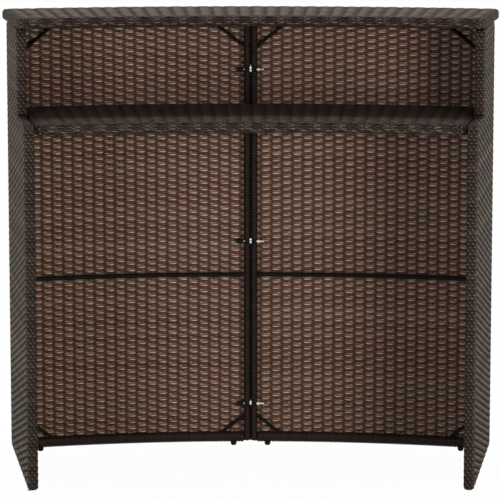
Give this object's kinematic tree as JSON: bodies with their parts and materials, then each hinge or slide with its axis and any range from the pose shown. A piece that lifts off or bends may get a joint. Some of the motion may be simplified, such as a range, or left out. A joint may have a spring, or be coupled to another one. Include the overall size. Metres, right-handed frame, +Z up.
{
  "type": "bar table",
  "caption": "Bowed bar table of woven synthetic rattan on tube frames, with a counter top, splayed side wings and a shelf on the serving side.",
  "frame": {"origin": "on the floor, in the middle of the bar's outline in plan", "axes": "+Z up, +X to the right of the person serving, +Y towards the guests' side"},
  "size_m": [1.2248, 0.605, 1.1],
  "materials": {
    "weave": "woven rattan strand",
    "binding": "wound rattan strand",
    "frame": "black powder coat",
    "glide": "moulded",
    "knob": "moulded",
    "zinc": "zinc plated"
  },
  "bodies": {
    "root": {"centre_bolts": "zinc", "centre_knobs": "knob", "centre_nuts": "zinc", "front_left_binding": "binding", "front_left_bottom_rail": "frame", "front_left_braces": "frame", "front_left_glides": "glide", "front_left_inner_post": "frame", "front_left_mid_rail": "frame", "front_left_outer_post": "frame", "front_left_top_rail": "frame", "front_left_weave": "weave", "front_right_binding": "binding", "front_right_bottom_rail": "frame", "front_right_braces": "frame", "front_right_glides": "glide", "front_right_inner_post": "frame", "front_right_mid_rail": "frame", "front_right_outer_post": "frame", "front_right_top_rail": "frame", "front_right_weave": "weave", "shelf_bolts_left": "zinc", "shelf_bolts_right": "zinc", "shelf_brackets_left": "frame", "shelf_brackets_right": "frame", "shelf_crossbars": "frame", "shelf_frame": "frame", "shelf_weave": "weave", "top_bolts_left": "zinc", "top_bolts_right": "zinc", "top_crossbars": "frame", "top_frame": "frame", "top_weave": "weave", "wing_bolts_left": "zinc", "wing_bolts_right": "zinc", "wing_left_crossbars": "frame", "wing_left_frame": "frame", "wing_left_joint_post": "frame", "wing_left_weave": "weave", "wing_right_crossbars": "frame", "wing_right_frame": "frame", "wing_right_joint_post": "frame", "wing_right_weave": "weave"}
  },
  "joints": []
}
